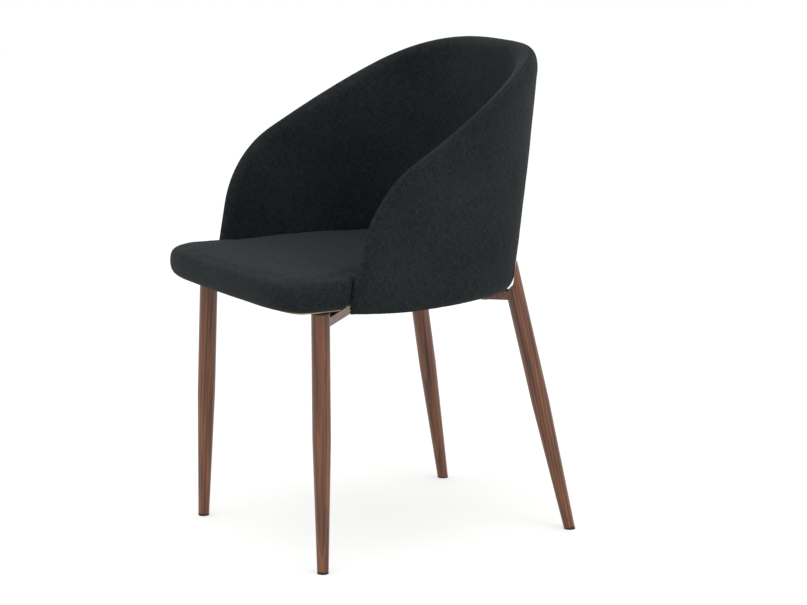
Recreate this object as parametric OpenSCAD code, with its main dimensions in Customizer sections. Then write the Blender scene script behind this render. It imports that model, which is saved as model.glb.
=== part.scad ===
// Tub dining chair: padded shell and loose-front seat on a four-leg frame with crossed rails.
// The floor is z = 0, the sitter faces -Y, and the origin is under the middle of the chair's box.

/* [Shell] */
// Height of the ridge at the middle of the back
back_height = 790; // [700:1:860]
// Height of the shell's lower edge
shell_bottom = 402; // [396:1:408]
// Half width of the shell's middle surface at its lower edge
shell_half_bottom = 214; // [185:1:250]
// Half width of the shell's middle surface at the ridge height
shell_half_top = 252; // [215:1:290]
// Distance from the shell's widest line back to its rear, at the lower edge
shell_back_bottom = 456; // [400:1:520]
// The same distance at the ridge height
shell_back_top = 515; // [450:1:590]
// How square the plan's rear corners are at the lower edge (2 is an ellipse)
corner_bottom = 3.9; // [2.4:0.1:4.5]
// How square the rear corners are at the ridge height
corner_top = 2.9; // [2.2:0.1:4]
// Distance from the shell's widest line forward to the middle of its box
widest_line = 293; // [250:1:330]
// Thickness of the moulded plywood
ply = 9; // [6:0.5:12]
// Thickness of the padding outside the plywood
outer_pad = 8.2; // [5:0.1:14]
// Thickness of the padding inside each arm
arm_pad = 7.2; // [5:0.1:14]
// Thickness of the padding inside the back
back_pad = 15.2; // [8:0.1:24]
// How much higher the shell's lower edge is at the arm fronts
arm_lift = 9; // [0:0.5:9]
// How far the outer padding curls in under the plywood at the rear
tuck = 17; // [6:1:17]

/* [Arms] */
// Distance of the arm's front lower corner ahead of the shell's middle
arm_reach = 198; // [160:1:220]
// Backward lean of the arm's front edge, degrees
arm_lean = 13.2; // [4:0.1:20]
// Height at which the front edge would meet the sloping ridge
arm_height = 599; // [560:1:640]
// Radius of the bend between the front edge and the ridge
arm_bend = 185; // [90:5:200]
// Slope of the ridge from the arm to the back, degrees
ridge_slope = 28.8; // [20:0.1:32]

/* [Seat] */
// Distance of the seat's front edge ahead of the shell's middle
seat_front = 312; // [280:1:340]
// Half width of the seat in front of the arms
seat_half_width = 222; // [200:1:228]
// Height of the seat's underside
seat_bottom = 411; // [409:1:416]
// Thickness of the cushion at its edge, board included
seat_thickness = 54; // [44:1:66]
// Extra height of the cushion at its middle
seat_crown = 6; // [0:1:16]
// Thickness of the seat board
board = 12; // [9:1:16]
// Distance of the board's edge inside the cushion's edge
board_inset = 28; // [26:1:32]
// Thickness of the cloth under the seat
dust_cloth = 0.8; // [0.4:0.1:1.2]

/* [Legs] */
// Diameter of the upper leg
leg_diameter = 29; // [25:0.5:32]
// Diameter of the foot
foot_diameter = 18; // [15:0.5:24]
// Wall of the leg tube
leg_wall = 1.5; // [1:0.1:2]
// Height at which the taper to the foot begins
taper_height = 212; // [120:1:280]
// Half distance between the front feet
front_foot_x = 198; // [170:1:215]
// Distance of the front feet ahead of the shell's middle
front_foot_y = 236; // [210:1:260]
// Half distance between the rear feet
rear_foot_x = 193; // [180:1:205]
// Distance of the rear feet behind the shell's middle
rear_foot_y = 236; // [225:1:250]
// Inward lean of the front legs, mm for each mm of height
front_in = 0.039; // [0:0.001:0.06]
// Backward lean of the front legs, mm for each mm of height
front_back = 0.019; // [0:0.001:0.05]
// Inward lean of the rear legs, mm for each mm of height
rear_in = 0.099; // [0.08:0.001:0.12]
// Forward lean of the rear legs, mm for each mm of height
rear_forward = 0.214; // [0.19:0.001:0.24]
// Thickness of the glide under the tube
glide = 4; // [3:0.5:8]

/* [Rails] */
// Height of the rails' underside
rail_bottom = 387; // [380:1:388]
// Height of the rail tube
rail_height = 14; // [12:1:14]
// Width of the rail tube
rail_width = 24; // [20:1:25]
// Wall of the rail tube
rail_wall = 1.5; // [1:0.1:2]
// Length of the stub welded to each leg, from the leg's axis
stub_length = 37; // [30:1:50]
// Distance of the seat bolts from the middle of the crossing
bolt_reach = 100; // [80:1:112]

/* [Hidden] */
$fn = 64;

// Fits
glue_gap = 0.5;
soft_gap = 1.5;
plug_gap = 0.05;
thread_gap = 0.05;
hole_gap = 0.3;
joint_gap = 0.4;
edge_gap = 1;
// Longer than the chair in every direction
far = 2000;

walnut = [0.33, 0.19, 0.12];
charcoal = [0.10, 0.115, 0.12];
plywood = [0.76, 0.62, 0.44];
zinc = [0.72, 0.72, 0.70];
black = [0.05, 0.05, 0.05];

// The chair's box runs from the seat's front edge to the rear glides, and its middle is the origin.
shift_y = (seat_front - rear_foot_y - foot_diameter / 2) / 2;

module placed() {
    translate([0, shift_y, 0]) children();
}

function mix(a, b, t) = a + (b - a) * t;
function clamp01(t) = min(max(t, 0), 1);
function smooth(t) = clamp01(t) * clamp01(t) * (3 - 2 * clamp01(t));

// ---- The shell's middle surface: a leaning superellipse, in polar form about its widest line ----
function level(z) = (z - shell_bottom) / (back_height - shell_bottom);
function half_width(z) = mix(shell_half_bottom, shell_half_top, level(z));
function back_depth(z) = mix(shell_back_bottom, shell_back_top, level(z));
function corner(z) = mix(corner_bottom, corner_top, level(z));
function polar(a, z) = pow(pow(abs(cos(a)) / half_width(z), corner(z))
                         + pow(abs(sin(a)) / back_depth(z), corner(z)), -1 / corner(z));
function plan_point(a, z) = polar(a, z) * [cos(a), sin(a)] - [0, widest_line];
function plan_normal(a, z) =
    let (p = plan_point(a, z) + [0, widest_line], n = corner(z),
         g = [sign(p[0]) * pow(abs(p[0]) / half_width(z), n - 1) / half_width(z),
              pow(abs(p[1]) / back_depth(z), n - 1) / back_depth(z)])
    g / norm(g);
// A point of the shell, h outside its middle surface.
function shell_point(a, z, h) =
    let (p = plan_point(a, z) + h * plan_normal(a, z))
    [p[0], p[1], z];
// The plan angle at which the middle surface crosses the line y.
function angle_at(y, z) =
    let (t = (y + widest_line) / back_depth(z),
         x = half_width(z) * pow(1 - pow(t, corner(z)), 1 / corner(z)))
    atan2(y + widest_line, x);

// ---- The ridge: front edge, bend, slope and the easing at the back, as height over y ----
corner_y = -arm_reach + (arm_height - seat_bottom) * tan(arm_lean);
bend_angle = 90 - arm_lean - ridge_slope;
bend_run = arm_bend * tan(bend_angle / 2);
bend_start_y = corner_y - bend_run * sin(arm_lean);
bend_start_z = arm_height - bend_run * cos(arm_lean);
bend_centre_y = bend_start_y + arm_bend * cos(arm_lean);
bend_centre_z = bend_start_z - arm_bend * sin(arm_lean);
bend_end_y = corner_y + bend_run * cos(ridge_slope);
back_y = back_depth(back_height) - widest_line;
ease_length = 120;
ease_start = back_y - ease_length;
slope_z_at_back = arm_height + (back_y - corner_y) * tan(ridge_slope);
function slope_z(y) = arm_height + (y - corner_y) * tan(ridge_slope);
function ease(y) = (slope_z_at_back - back_height) * pow(max(y - ease_start, 0) / (back_y - ease_start), 2);
function ridge_z(y) = slope_z(y) - ease(y);
function edge_y(z) = -arm_reach + (z - seat_bottom) * tan(arm_lean);
// Height of the ridge at a plan angle on the slope, found by repeated substitution.
function ridge_at(a, z = 680, turns = 6) =
    turns == 0 ? z : ridge_at(a, ridge_z(plan_point(a, z)[1]), turns - 1);

// One side of the ridge, from the front lower corner to the middle of the back, as [angle, z].
edge_steps = 8;
bend_steps = 6;
slope_steps = 18;
function ridge_side(z_low) =
    let (slope_angle = angle_at(bend_end_y, ridge_z(bend_end_y)))
    concat(
        [for (i = [0:edge_steps - 1])
            let (z = mix(z_low, bend_start_z, i / edge_steps)) [angle_at(edge_y(z), z), z]],
        [for (i = [0:bend_steps - 1])
            let (t = 180 - arm_lean - bend_angle * i / bend_steps,
                 y = bend_centre_y + arm_bend * cos(t), z = bend_centre_z + arm_bend * sin(t))
            [angle_at(y, z), z]],
        [for (i = [0:slope_steps])
            let (a = mix(slope_angle, 90, i / slope_steps)) [a, ridge_at(a)]]);

// Columns of one layer, from the ridge down to its foot: [ridge angle, ridge z, foot angle, foot z, shell's lower edge].
fan = 0.75;
lift_length = 170;
function lower_edge(a) =
    let (y = plan_point(a, shell_bottom)[1])
    shell_bottom + arm_lift * pow(1 - clamp01((y + arm_reach) / lift_length), 2);
least_column = 10;
side_columns =
    let (ridge = ridge_side(shell_bottom + arm_lift + least_column), last = len(ridge) - 1,
         foot_start = angle_at(edge_y(shell_bottom), shell_bottom))
    [for (i = [0:last])
        let (foot = mix(foot_start, 90, pow(i / last, fan)))
        [ridge[i][0], ridge[i][1], foot, lower_edge(foot)]];
function mirrored(c) = [180 - c[0], c[1], 180 - c[2], c[3], c[4]];
// All layers share these columns. One whose foot is higher ends them there, and leaves out the shortest.
function cut_at(c, z) = let (w = (c[1] - z) / (c[1] - c[3])) [c[0], c[1], mix(c[0], c[2], w), z, c[3]];
function columns(z_foot) =
    let (side = [for (c = side_columns) if (c[1] >= z_foot + least_column) cut_at(c, max(z_foot, c[3]))],
         last = len(side) - 1)
    concat(side, [for (i = [1:last]) mirrored(side[last - i])]);
function column_length(c) = norm(shell_point(c[0], c[1], 0) - shell_point(c[2], c[3], 0));
function column_angle(c, d) = mix(c[0], c[2], d / column_length(c));
// The point h outside the middle surface, d along the column below the ridge.
function on_column(c, h, d) = shell_point(column_angle(c, d), mix(c[1], c[3], d / column_length(c)), h);

// A closed solid through rings of equal length, with a fan from a middle point over each end.
function middle_of(ring) = [for (k = [0:2]) [for (p = ring) p[k]] * [for (p = ring) 1 / len(ring)]];
module ring_solid(rings, first_middle = undef, last_middle = undef) {
    n = len(rings[0]);
    m = len(rings);
    points = concat([for (r = rings) each r],
                    [is_undef(first_middle) ? middle_of(rings[0]) : first_middle],
                    [is_undef(last_middle) ? middle_of(rings[m - 1]) : last_middle]);
    // Each four-sided patch is split along its shorter diagonal.
    walls = [for (i = [0:m - 2], j = [0:n - 1], half = [0, 1])
        let (a = i * n + j, b = i * n + (j + 1) % n, c = a + n, d = b + n)
        norm(points[a] - points[d]) < norm(points[b] - points[c])
            ? (half == 0 ? [a, b, d] : [a, d, c])
            : (half == 0 ? [a, b, c] : [b, d, c])];
    first_end = [for (j = [0:n - 1]) [m * n, (j + 1) % n, j]];
    last_end = [for (j = [0:n - 1]) [m * n + 1, (m - 1) * n + j, (m - 1) * n + (j + 1) % n]];
    polyhedron(points, concat(walls, first_end, last_end), convexity = 8);
}

// ---- Layers of the shell ----
core_bottom = shell_bottom + 12;
inner_bottom = seat_bottom + board + 8;
outer_face = ply / 2 + glue_gap + outer_pad;
arm_angle = 40;
back_angle = 68;
roll_steps = 4;
wall_steps = 6;

// How far a plan angle has gone from the arm to the back, 0 to 1, on either side.
function toward_back(a) = smooth((90 - abs(a - 90) - arm_angle) / (back_angle - arm_angle));
function inner_face(a) = -(ply / 2 + glue_gap + mix(arm_pad, back_pad, toward_back(a)));
// Depth of the rolled edge, no more than a share of a short column.
roll_share = 0.4;
function roll_depth(c) = min(outer_face + ply / 2, column_length(c) * roll_share);
// The same depth for a column cut short, from the length it has down to the shell's bottom.
function full_roll(c) = min(outer_face + ply / 2,
    column_length(c) * roll_share * (c[1] - c[4]) / (c[1] - c[3]));
function depths(from, to) = [for (i = [0:wall_steps]) mix(from, to, i / wall_steps)];
quarter = [for (i = [1:roll_steps]) 90 * i / roll_steps];

module shell_core() {
    color(plywood) placed()
    ring_solid([for (c = columns(core_bottom))
        let (down = depths(full_roll(c), column_length(c)))
        concat([for (d = down) on_column(c, ply / 2, d)],
               [for (i = [wall_steps:-1:0]) on_column(c, -ply / 2, down[i])])]);
}

module shell_inner_pad() {
    color(charcoal) placed()
    ring_solid([for (c = columns(inner_bottom))
        let (top = roll_depth(c), down = depths(top, column_length(c)), seam = -glue_gap / 2,
             face = inner_face(column_angle(c, top)))
        concat([for (d = down) on_column(c, -ply / 2 - glue_gap, d)],
               [for (i = [wall_steps:-1:0]) on_column(c, inner_face(column_angle(c, down[i])), down[i])],
               [for (t = quarter) on_column(c, seam + (face - seam) * cos(t), top * (1 - sin(t)))],
               [on_column(c, seam, top - edge_gap)],
               [on_column(c, -ply / 2 - glue_gap, top - edge_gap)])]);
}

// The outer padding curls in under the plywood, more at the rear than at the arms.
least_tuck = 3;
curl_rise = 1.4;
function curl(a) = mix(least_tuck, tuck, toward_back(a));
// Its rolled edge is deeper at the back than at the arms.
back_roll = 28;
module shell_outer_pad() {
    color(charcoal) placed()
    ring_solid([for (c = columns(shell_bottom))
        let (top = roll_depth(c), long = column_length(c), in = curl(c[2]), seam = glue_gap / 2,
             back = ply / 2 + glue_gap, high = min(in * curl_rise, long * 0.4),
             roll = mix(top, min(back_roll, long * roll_share), toward_back(c[2])),
             down = depths(roll, long - high),
             ledge = min(core_bottom - shell_bottom - glue_gap - 1, high * 0.5))
        concat([for (i = [roll_steps - 1:-1:0])
                   on_column(c, seam + (outer_face - seam) * cos(quarter[i]), roll * (1 - sin(quarter[i])))],
               [for (d = down) on_column(c, outer_face, d)],
               [for (t = quarter) on_column(c, outer_face - in * (1 - cos(t)), long - high * (1 - sin(t)))],
               [on_column(c, min(outer_face - in, back), long - ledge)],
               [on_column(c, back, long - ledge)],
               [for (i = [wall_steps:-1:0]) on_column(c, back, down[i])],
               [on_column(c, back, top - edge_gap)],
               [on_column(c, seam, top - edge_gap)])]);
}

// ---- Seat: a T-shaped cushion over a board, its front as wide as the shell ----
seat_top = seat_bottom + seat_thickness;
seat_corner = 5;
front_steps = 36;
rear_steps = 56;
lower_round = 24;
upper_round = 16;
round_steps = 5;
shoulder_gap = 1.5;
hub_ahead = 15;

function shoulder_y(z) = edge_y(z) - shoulder_gap;
function front_arc(z, inset) =
    [for (i = [0:front_steps])
        let (a = -180 * i / front_steps, depth = seat_front + shoulder_y(z), k = seat_corner,
             r = pow(pow(abs(cos(a)) / seat_half_width, k) + pow(abs(sin(a)) / depth, k), -1 / k),
             x = r * cos(a), y = r * sin(a),
             g = [sign(x) * pow(abs(x) / seat_half_width, k - 1) / seat_half_width,
                  -pow(abs(y) / depth, k - 1) / depth])
        [x - inset * g[0] / norm(g), shoulder_y(z) + y - inset * g[1] / norm(g), z]];
function rear_arc(z, inset) =
    let (start = angle_at(shoulder_y(z) + 1, z))
    [for (i = [0:rear_steps])
        let (a = mix(180 - start, start, i / rear_steps))
        shell_point(a, z, inner_face(a) - soft_gap - inset)];
// The seat's outline at height z, drawn in by inset, then scaled by k about its hub.
function hub(z) = [0, shoulder_y(z) - hub_ahead, z];
function seat_ring(z, inset, k = 1) =
    [for (p = concat(front_arc(z, inset), rear_arc(z, inset))) hub(z) + k * (p - hub(z))];

board_bottom = seat_bottom + dust_cloth;
board_top = board_bottom + board;
function board_ring(inset, k = 1) = [for (p = seat_ring(board_bottom, board_inset + inset, k)) [p[0], p[1]]];
function at_height(ring, z) = [for (p = ring) [p[0], p[1], z]];

module seat_cushion() {
    pocket_top = board_top + glue_gap;
    color(charcoal) placed()
    ring_solid(concat(
        [at_height(board_ring(-soft_gap, 0.4), pocket_top)],
        [at_height(board_ring(-soft_gap), pocket_top)],
        [at_height(board_ring(-soft_gap), seat_bottom)],
        [for (i = [round_steps:-1:0])
            let (t = 90 * i / round_steps)
            seat_ring(seat_bottom + lower_round * (1 - sin(t)), lower_round * (1 - cos(t)))],
        [for (i = [0:round_steps])
            let (t = 90 * i / round_steps)
            seat_ring(seat_top - upper_round * (1 - sin(t)), upper_round * (1 - cos(t)))],
        [seat_ring(seat_top + seat_crown * 0.7, upper_round, 0.7)],
        [seat_ring(seat_top + seat_crown, upper_round, 0.35)]),
        [0, hub(board_bottom)[1], pocket_top], hub(seat_top + seat_crown));
}

// ---- Legs ----
leg_r = leg_diameter / 2;
foot_r = foot_diameter / 2;
front = 0;
rear = 1;
left = 1;
right = -1;
function foot_at(row, side) = row == front ? [side * front_foot_x, -front_foot_y] : [side * rear_foot_x, rear_foot_y];
function lean_of(row, side) = row == front ? [-side * front_in, front_back] : [-side * rear_in, -rear_forward];
function leg_at(row, side, z) = foot_at(row, side) + lean_of(row, side) * z;
// Length along the leg for each mm of height
function leg_stretch(row, side) = norm([lean_of(row, side)[0], lean_of(row, side)[1], 1]);

module on_leg(row, side) {
    lean = lean_of(row, side);
    translate([foot_at(row, side)[0], foot_at(row, side)[1], 0])
    rotate([0, 0, atan2(lean[1], lean[0])])
    rotate([0, atan(norm(lean)), 0])
        children();
}

leg_long = 520;
module leg_outside(row, side, start = 0) {
    taper = taper_height * leg_stretch(row, side);
    r_start = mix(foot_r, leg_r, start / taper);
    on_leg(row, side) {
        translate([0, 0, start]) cylinder(h = taper - start, r1 = r_start, r2 = leg_r);
        translate([0, 0, taper]) cylinder(h = leg_long - taper, r = leg_r);
    }
}
module leg_bore(row, side) {
    taper = taper_height * leg_stretch(row, side);
    on_leg(row, side) {
        cylinder(h = taper, r1 = foot_r - leg_wall, r2 = leg_r - leg_wall);
        translate([0, 0, taper]) cylinder(h = leg_long, r = leg_r - leg_wall);
    }
}
module above(z) {
    translate([-far / 2, -far / 2, z]) cube(far);
}
module below(z) {
    translate([-far / 2, -far / 2, z - far]) cube(far);
}

// The rear legs end in a long mitre that lies along the shell's outer face, closed by a bent plate.
mitre_low = 425;
mitre_high = 465;
mitre_gap = 1.4;
plate = 2;
function mitre_angle(side) =
    let (p = leg_at(rear, side, mitre_low))
    atan2(p[1] + widest_line, p[0]);
// The space inside the mitre: behind its long face, and above the slope that clears the curled padding.
curl_turn = atan(curl_rise);
curl_clear = mitre_low - shell_bottom - tuck * (1 - cos(curl_turn)) - tuck * curl_rise * (1 - sin(curl_turn));
module half_space(tilt, depth) {
    rotate([0, tilt, 0])
    translate([depth - far, -far / 2, -far / 2])
        cube(far);
}
module inside_mitre(side, offset) {
    a = mitre_angle(side);
    n = plan_normal(a, mitre_low);
    p = shell_point(a, mitre_low, outer_face);
    q = shell_point(a, mitre_high, outer_face);
    tilt = atan(([q[0] - p[0], q[1] - p[1]] * n) / (mitre_high - mitre_low));
    translate(p)
    rotate([0, 0, atan2(n[1], n[0])])
    intersection() {
        half_space(tilt, offset);
        half_space(45, curl_clear * cos(45) + offset);
    }
}

front_top = seat_bottom - 3;
module leg(row, side) {
    color(walnut) placed()
    difference() {
        leg_outside(row, side, glide);
        leg_bore(row, side);
        if (row == front) above(front_top);
        if (row == rear) inside_mitre(side, mitre_gap + plate);
    }
}

plug_long = 16;
module leg_glide(row, side) {
    taper = taper_height * leg_stretch(row, side);
    r_bore = mix(foot_r, leg_r, glide / taper) - leg_wall - plug_gap;
    color(black) placed()
    difference() {
        on_leg(row, side) {
            translate([0, 0, -glide]) cylinder(h = 2 * glide, r = foot_r);
            translate([0, 0, glide]) cylinder(h = plug_long, r = r_bore);
        }
        below(0);
    }
}

cap_rim = 2.4;
module leg_cap(side) {
    color(black) placed()
    union() {
        intersection() {
            leg_outside(front, side, taper_height);
            translate([-far / 2, -far / 2, front_top]) cube([far, far, cap_rim]);
        }
        difference() {
            on_leg(front, side)
                translate([0, 0, front_top - plug_long]) cylinder(h = far, r = leg_r - leg_wall - plug_gap);
            above(front_top);
        }
    }
}

// The steel plate that closes the mitre of a rear leg
module leg_plate(side) {
    color(walnut) placed()
    difference() {
        intersection() {
            leg_outside(rear, side, taper_height);
            inside_mitre(side, mitre_gap + plate);
        }
        inside_mitre(side, mitre_gap);
    }
}

// ---- Crossed rails ----
rail_top = rail_bottom + rail_height;
rail_mid = rail_bottom + rail_height / 2;
function flat_unit(v) = v / norm(v);
// A diagonal runs from one leg's axis to the leg across.
function diagonal(row, side) = leg_at(1 - row, -side, rail_mid) - leg_at(row, side, rail_mid);
function rail_dir(row, side) = flat_unit(diagonal(row, side));
crossing = leg_at(rear, left, rail_mid)
         + diagonal(rear, left) * leg_at(rear, left, rail_mid)[0] / -diagonal(rear, left)[0];

// A straight bar along the diagonal, from one length to another, thinner than the tube by gap all round.
module rail_bar(row, side, from, to, gap = 0) {
    p = leg_at(row, side, rail_mid);
    d = rail_dir(row, side);
    translate([p[0], p[1], rail_bottom + gap])
    rotate([0, 0, atan2(d[1], d[0])])
    translate([from, -rail_width / 2 + gap, 0])
        cube([to - from, rail_width - 2 * gap, rail_height - 2 * gap]);
}
module stub(row, side) {
    color(walnut) placed()
    difference() {
        rail_bar(row, side, leg_r / 2, stub_length);
        rail_bar(row, side, 0, stub_length + 1, rail_wall);
        leg_outside(row, side);
    }
}

bolt_r = 3;
bolt_hole_r = bolt_r + hole_gap;
screw_r = 2.5;
spigot_in = 16;
spigot_out = 26;
screw_out = 14;
full_length = norm(diagonal(rear, right));
rail_start = stub_length + joint_gap;

// The four seat bolts stand on the rails, all at one distance from the crossing.
function rail_bolts() = [for (row = [front, rear], side = [left, right]) crossing - rail_dir(row, side) * bolt_reach];
module on_rail_bolts() {
    for (p = rail_bolts()) translate([p[0], p[1], 0]) children();
}
// One screw through the underside of each rail end
module on_spigot_screws() {
    for (row = [front, rear], side = [left, right]) {
        p = leg_at(row, side, rail_mid) + rail_dir(row, side) * (stub_length + screw_out);
        translate([p[0], p[1], 0]) children();
    }
}
module rail_holes() {
    on_rail_bolts() translate([0, 0, rail_bottom - 1]) cylinder(h = rail_height + 2, r = bolt_hole_r);
    on_spigot_screws() translate([0, 0, rail_bottom - 1]) cylinder(h = rail_wall + 2, r = screw_r + hole_gap);
}
module rail_long() {
    color(walnut) placed()
    difference() {
        rail_bar(rear, right, rail_start, full_length - rail_start);
        rail_bar(rear, right, 0, full_length, rail_wall);
        rail_holes();
    }
}
module rail_short(row, side) {
    to_crossing = norm(crossing - leg_at(row, side, rail_mid));
    color(walnut) placed()
    difference() {
        rail_bar(row, side, rail_start, to_crossing);
        rail_bar(row, side, 0, to_crossing, rail_wall);
        rail_bar(rear, right, 0, full_length);
        rail_holes();
    }
}
module rail_spigots() {
    color(zinc) placed()
    difference() {
        for (row = [front, rear], side = [left, right])
            rail_bar(row, side, stub_length - spigot_in, stub_length + spigot_out, rail_wall + hole_gap);
        on_spigot_screws() translate([0, 0, rail_bottom]) cylinder(h = rail_height, r = screw_r + thread_gap);
    }
}
screw_head = 2.6;
module spigot_screws() {
    color(zinc) placed() on_spigot_screws() {
        translate([0, 0, rail_bottom - screw_head]) cylinder(h = screw_head, r = 2 * screw_r);
        translate([0, 0, rail_bottom]) cylinder(h = rail_height - rail_wall - 1, r = screw_r);
    }
}
gusset = 84;
gusset_thick = 3;
module centre_plate() {
    d = rail_dir(rear, left);
    color(walnut) placed()
    translate([crossing[0], crossing[1], rail_top])
    linear_extrude(gusset_thick)
    polygon([for (p = [[1, 0], [0, 1], [-1, 0], [0, -1]]) p * gusset / 2]);
}

// ---- What fastens the seat to the rails ----
washer = 1.6;
bolt_head = 4;
bolt_head_r = 5.5;
spacer_r = 8;
nut_r = 4;
nut_flange_r = 10;
nut_flange = 1.6;
nut_long = 9;
module seat_spacers() {
    color(zinc) placed() on_rail_bolts()
    difference() {
        translate([0, 0, rail_top]) cylinder(h = board_bottom - rail_top, r = spacer_r);
        translate([0, 0, rail_top - 1]) cylinder(h = far, r = bolt_hole_r);
    }
}
module seat_washers() {
    color(zinc) placed() on_rail_bolts()
    difference() {
        translate([0, 0, rail_bottom - washer]) cylinder(h = washer, r = spacer_r);
        translate([0, 0, rail_bottom - washer - 1]) cylinder(h = far, r = bolt_hole_r);
    }
}
module bolt_from(z) {
    translate([0, 0, z - bolt_head]) cylinder(h = bolt_head, r = bolt_head_r);
    translate([0, 0, z]) cylinder(h = board_top - 1 - z, r = bolt_r);
}
module seat_bolts() {
    color(zinc) placed() on_rail_bolts() bolt_from(rail_bottom - washer);
}

// ---- Steel brackets between the seat board and the shell ----
bracket = 2;
bracket_width = 30;
bracket_long = 82;
bracket_rise = 20;
bracket_hole = 68;
flange_hole_z = 14;
shell_screw_r = 2;
side_angle = 47;
rear_angle = 83;
bracket_angles = [side_angle, 180 - side_angle, rear_angle, 180 - rear_angle];
bracket_gap = 0.9;
bracket_face = -ply / 2 - bracket_gap;
bracket_z = seat_bottom - bracket;
function bracket_tilt(a) =
    let (p = shell_point(a, bracket_z, bracket_face), q = shell_point(a, inner_bottom, bracket_face),
         n = plan_normal(a, bracket_z))
    atan(([q[0] - p[0], q[1] - p[1]] * n) / (inner_bottom - bracket_z));
module on_bracket(a) {
    n = plan_normal(a, bracket_z);
    translate(shell_point(a, bracket_z, bracket_face))
    rotate([0, 0, atan2(n[1], n[0])])
        children();
}
module flange_bore(a, from, to, r) {
    rotate([0, bracket_tilt(a), 0])
    translate([from, 0, flange_hole_z])
    rotate([0, 90, 0])
        cylinder(h = to - from, r = r);
}
// Side profile of a bracket bent up by less or more than a right angle.
function bracket_profile(t) = let (up = bracket * (1 - sin(t)) / cos(t))
    [[-bracket_long, 0],
     [0, 0],
     bracket_rise * [sin(t), cos(t)],
     bracket_rise * [sin(t), cos(t)] + bracket * [-cos(t), sin(t)],
     [up * sin(t) - bracket * cos(t), bracket],
     [-bracket_long, bracket]];

module shell_bracket(a) {
    color(zinc) placed() on_bracket(a)
    difference() {
        translate([0, bracket_width / 2, 0])
        rotate([90, 0, 0])
            linear_extrude(height = bracket_width) polygon(bracket_profile(bracket_tilt(a)));
        translate([-bracket_hole, 0, -1]) cylinder(h = bracket + 2, r = bolt_hole_r);
        flange_bore(a, -bracket - 1, 1, shell_screw_r + hole_gap);
    }
}
module on_bracket_bolts() {
    for (a = bracket_angles) on_bracket(a) translate([-bracket_hole, 0, -bracket_z]) children();
}
module bracket_bolts() {
    color(zinc) placed() on_bracket_bolts() bolt_from(bracket_z);
}
module shell_screws() {
    bite = ply - 2;
    color(zinc) placed()
    for (a = bracket_angles) on_bracket(a) {
        flange_bore(a, -bracket - 2, -bracket, 2 * shell_screw_r);
        flange_bore(a, -bracket, bracket_gap + bite, shell_screw_r);
    }
}
module on_all_bolts() {
    on_rail_bolts() children();
    on_bracket_bolts() children();
}
module tee_nuts() {
    color(zinc) placed() on_all_bolts()
    difference() {
        union() {
            translate([0, 0, board_top - nut_long]) cylinder(h = nut_long, r = nut_r);
            translate([0, 0, board_top - nut_flange]) cylinder(h = nut_flange, r = nut_flange_r);
        }
        cylinder(h = far, r = bolt_r + thread_gap);
    }
}

module seat_board() {
    color(plywood) placed()
    difference() {
        translate([0, 0, board_bottom]) linear_extrude(board) polygon(board_ring(0));
        on_all_bolts() {
            translate([0, 0, board_bottom - 1]) cylinder(h = board + 2, r = nut_r + plug_gap);
            translate([0, 0, board_top - nut_flange]) cylinder(h = board, r = nut_flange_r + plug_gap);
        }
    }
}
cloth_inset = 6;
module dust_cloth() {
    color(black) placed()
    difference() {
        translate([0, 0, seat_bottom]) linear_extrude(dust_cloth) polygon(board_ring(cloth_inset));
        on_rail_bolts() translate([0, 0, seat_bottom - 1]) cylinder(h = far, r = spacer_r + hole_gap);
        on_bracket_bolts() translate([0, 0, seat_bottom - 1]) cylinder(h = far, r = bolt_hole_r);
    }
}

// Wire staples along the edge of the cloth
staple_wide = 10;
staple_wire = 0.7;
staple_leg = 6;
staple_step = 5;
// Distance of a point from the middle line of a bracket's plate
function off_bracket(a, p) =
    let (n = plan_normal(a, bracket_z), q = shell_point(a, bracket_z, bracket_face))
    abs((p - [q[0], q[1]]) * [-n[1], n[0]]);
function clear_of_brackets(p) = min([for (a = bracket_angles) off_bracket(a, p)]) > (bracket_width + staple_wide) / 2;
module cloth_staples() {
    ring = board_ring(2 * cloth_inset);
    color(zinc) placed()
    for (i = [3:staple_step:len(ring) - 2]) if (clear_of_brackets(ring[i])) {
        run = ring[i + 1] - ring[i];
        translate([ring[i][0], ring[i][1], seat_bottom - staple_wire])
        rotate([0, 0, atan2(run[1], run[0])]) {
            translate([-staple_wide / 2, 0, 0]) cube([staple_wide, staple_wire, staple_wire]);
            for (x = [-staple_wide / 2, staple_wide / 2 - staple_wire])
                translate([x, 0, staple_wire]) cube([staple_wire, staple_wire, staple_leg]);
        }
    }
}

leg(front, left);  // leg_front_left
leg(front, right);  // leg_front_right
leg(rear, left);  // leg_rear_left
leg(rear, right);  // leg_rear_right
leg_glide(front, left);  // glide_front_left
leg_glide(front, right);  // glide_front_right
leg_glide(rear, left);  // glide_rear_left
leg_glide(rear, right);  // glide_rear_right
leg_cap(left);  // leg_cap_left
leg_cap(right);  // leg_cap_right
leg_plate(left);  // leg_plate_left
leg_plate(right);  // leg_plate_right
stub(front, left);  // stub_front_left
stub(front, right);  // stub_front_right
stub(rear, left);  // stub_rear_left
stub(rear, right);  // stub_rear_right
rail_long();
rail_short(front, right);  // rail_short_front
rail_short(rear, left);  // rail_short_rear
centre_plate();
rail_spigots();
spigot_screws();
seat_spacers();
seat_bolts();
seat_washers();
tee_nuts();
bracket_bolts();
shell_bracket(side_angle);  // shell_bracket_left
shell_bracket(180 - side_angle);  // shell_bracket_right
shell_bracket(rear_angle);  // shell_bracket_rear_left
shell_bracket(180 - rear_angle);  // shell_bracket_rear_right
shell_screws();
seat_board();
seat_cushion();
dust_cloth();
cloth_staples();
shell_core();
shell_inner_pad();
shell_outer_pad();
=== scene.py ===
import math

import bpy
import numpy as np
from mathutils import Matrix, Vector, noise


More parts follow.
